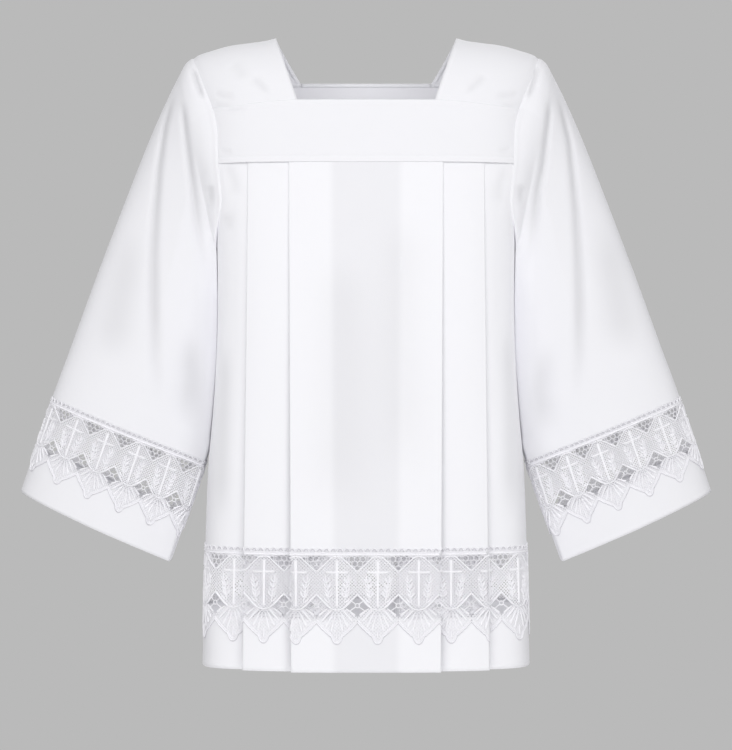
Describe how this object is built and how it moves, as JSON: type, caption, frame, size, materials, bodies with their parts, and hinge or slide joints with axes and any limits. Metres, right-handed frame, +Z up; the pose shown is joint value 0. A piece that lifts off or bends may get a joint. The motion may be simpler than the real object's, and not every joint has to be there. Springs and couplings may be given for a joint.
{
  "type": "surplice",
  "caption": "White square-necked surplice, worn and hollow, with a yoke, pleated body, wide sleeves, and lace insertions above hem and cuffs",
  "frame": {"origin": "midway between the two shoulders, at the height where the straps rest on them", "axes": "front faces -Y, the wearer's left sleeve points to +X, +Z up"},
  "size_m": [0.9988, 0.2824, 0.8978],
  "materials": {
    "cloth": "plain weave, smooth, soft sheen",
    "lace": "satin thread on open net"
  },
  "bodies": {
    "root": {"yoke_front": "cloth", "yoke_back": "cloth", "shoulder_left": "cloth", "shoulder_right": "cloth", "panel_front": "cloth", "panel_back": "cloth", "hem_lace_front": "lace", "hem_lace_back": "lace", "hem_band_front": "cloth", "hem_band_back": "cloth", "sleeve_left": "cloth", "sleeve_right": "cloth", "cuff_lace_left": "lace", "cuff_lace_right": "lace", "cuff_band_left": "cloth", "cuff_band_right": "cloth"}
  },
  "joints": []
}
